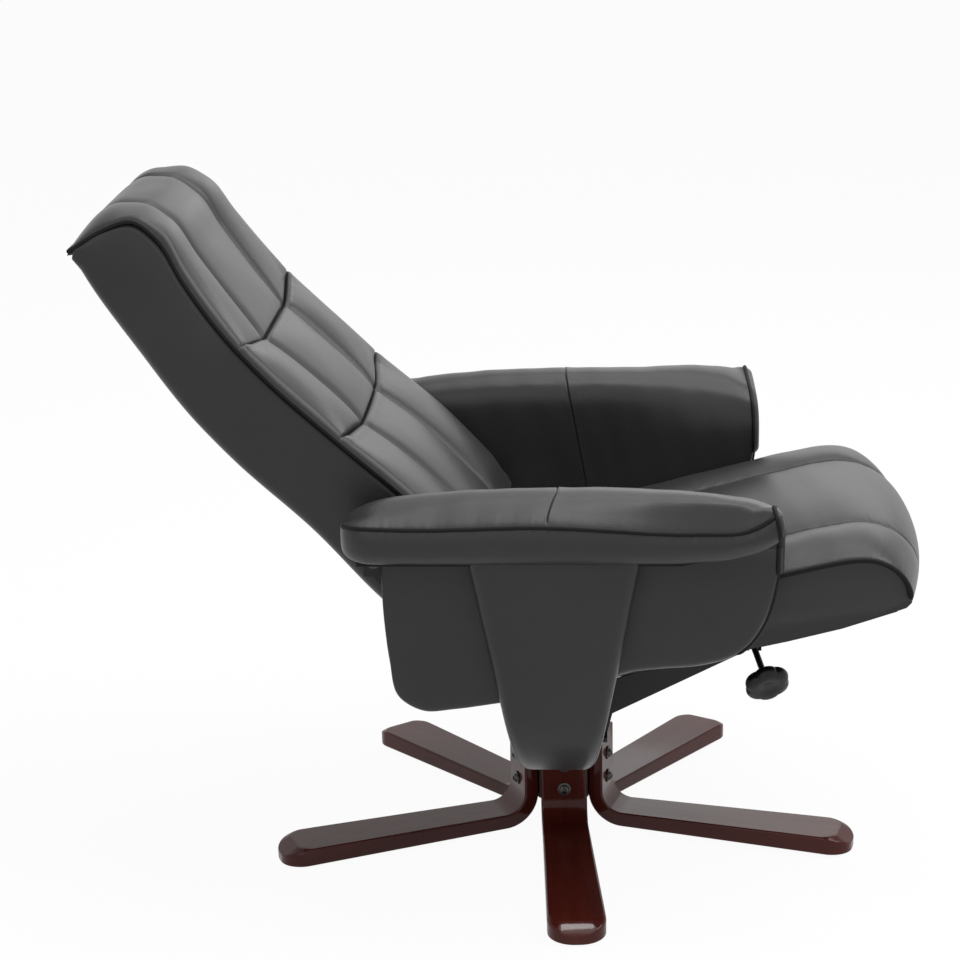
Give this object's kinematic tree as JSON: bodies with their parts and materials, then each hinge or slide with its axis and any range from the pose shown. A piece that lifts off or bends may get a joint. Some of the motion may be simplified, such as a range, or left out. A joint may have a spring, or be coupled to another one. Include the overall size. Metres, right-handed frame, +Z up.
{
  "type": "reclining swivel armchair",
  "caption": "Reclining armchair on a swivelling bentwood star base: padded back and sliding seat linked by slotted plates, roll-top arms on wedge uprights, clamp knob.",
  "frame": {"origin": "centre of the reclined chair's bounding box, on the floor", "axes": "+X is the way the sitter faces, +Y is the sitter's left, +Z is up"},
  "size_m": [1.0308, 0.7596, 0.8569],
  "materials": {
    "upholstery": "charcoal coated fabric",
    "mahogany": "glossy mahogany lacquer",
    "black_steel": "satin black",
    "black_board": "black covered board",
    "grey_nylon": "moulded nylon",
    "black_plastic": "moulded, satin",
    "felt": "brown felt"
  },
  "bodies": {
    "base": {"glide_1": "felt", "glide_2": "felt", "glide_3": "felt", "glide_4": "felt", "glide_5": "felt", "hub": "black_steel", "leg_1": "mahogany", "leg_2": "mahogany", "leg_3": "mahogany", "leg_4": "mahogany", "leg_5": "mahogany", "leg_bolt_1_lower": "black_steel", "leg_bolt_1_upper": "black_steel", "leg_bolt_2_lower": "black_steel", "leg_bolt_2_upper": "black_steel", "leg_bolt_3_lower": "black_steel", "leg_bolt_3_upper": "black_steel", "leg_bolt_4_lower": "black_steel", "leg_bolt_4_upper": "black_steel", "leg_bolt_5_lower": "black_steel", "leg_bolt_5_upper": "black_steel", "swivel_bush": "grey_nylon", "thrust_washer": "grey_nylon"},
    "frame": {"arm_board_left": "black_board", "arm_board_right": "black_board", "arm_pad_left": "upholstery", "arm_pad_right": "upholstery", "arm_panel_left": "upholstery", "arm_panel_right": "upholstery", "pivot_bolt_left": "black_steel", "pivot_bolt_right": "black_steel", "pivot_bracket_left": "black_steel", "pivot_bracket_right": "black_steel", "rail_gusset_left": "black_steel", "rail_gusset_right": "black_steel", "rail_left": "black_steel", "rail_right": "black_steel", "spindle_clip": "black_steel", "swivel_spindle": "black_steel", "upright_left": "upholstery", "upright_right": "upholstery", "yoke_plate": "black_steel"},
    "back": {"back_cushion": "upholstery", "back_shell": "upholstery", "recline_plate_left": "black_steel", "recline_plate_right": "black_steel"},
    "seat": {"clamp_fork": "black_steel", "runner_left": "black_steel", "runner_right": "black_steel", "seat_bracket_left": "black_steel", "seat_bracket_right": "black_steel", "seat_cushion": "upholstery", "seat_pan": "black_board", "slide_shoe_left_front": "grey_nylon", "slide_shoe_left_rear": "grey_nylon", "slide_shoe_right_front": "grey_nylon", "slide_shoe_right_rear": "grey_nylon"},
    "knob": {"clamp_knob": "black_plastic", "clamp_rod": "black_steel"}
  },
  "joints": [
    {"name": "swivel", "type": "hinge", "parent": "base", "child": "frame", "pos_m": [0.058, 0.0115, 0.15], "axis": [0, 0, 1], "continuous": true},
    {"name": "recline", "type": "hinge", "parent": "frame", "child": "back", "pos_m": [-0.162, 0.0115, 0.442], "axis": [0, 1, 0], "range_deg": [0, 27]},
    {"name": "seat_slide", "type": "slide", "parent": "frame", "child": "seat", "axis": [0.8949, 0, 0.4462], "range_m": [-0.0793, 0]},
    {"name": "clamp_turn", "type": "hinge", "parent": "seat", "child": "knob", "pos_m": [0.3162, -0.1923, 0.269], "axis": [0.24, -0.8198, -0.5199], "continuous": true}
  ],
  "couplings": [
    {"joint": "seat_slide", "follows": "recline", "m_per_rad": -0.16812}
  ]
}
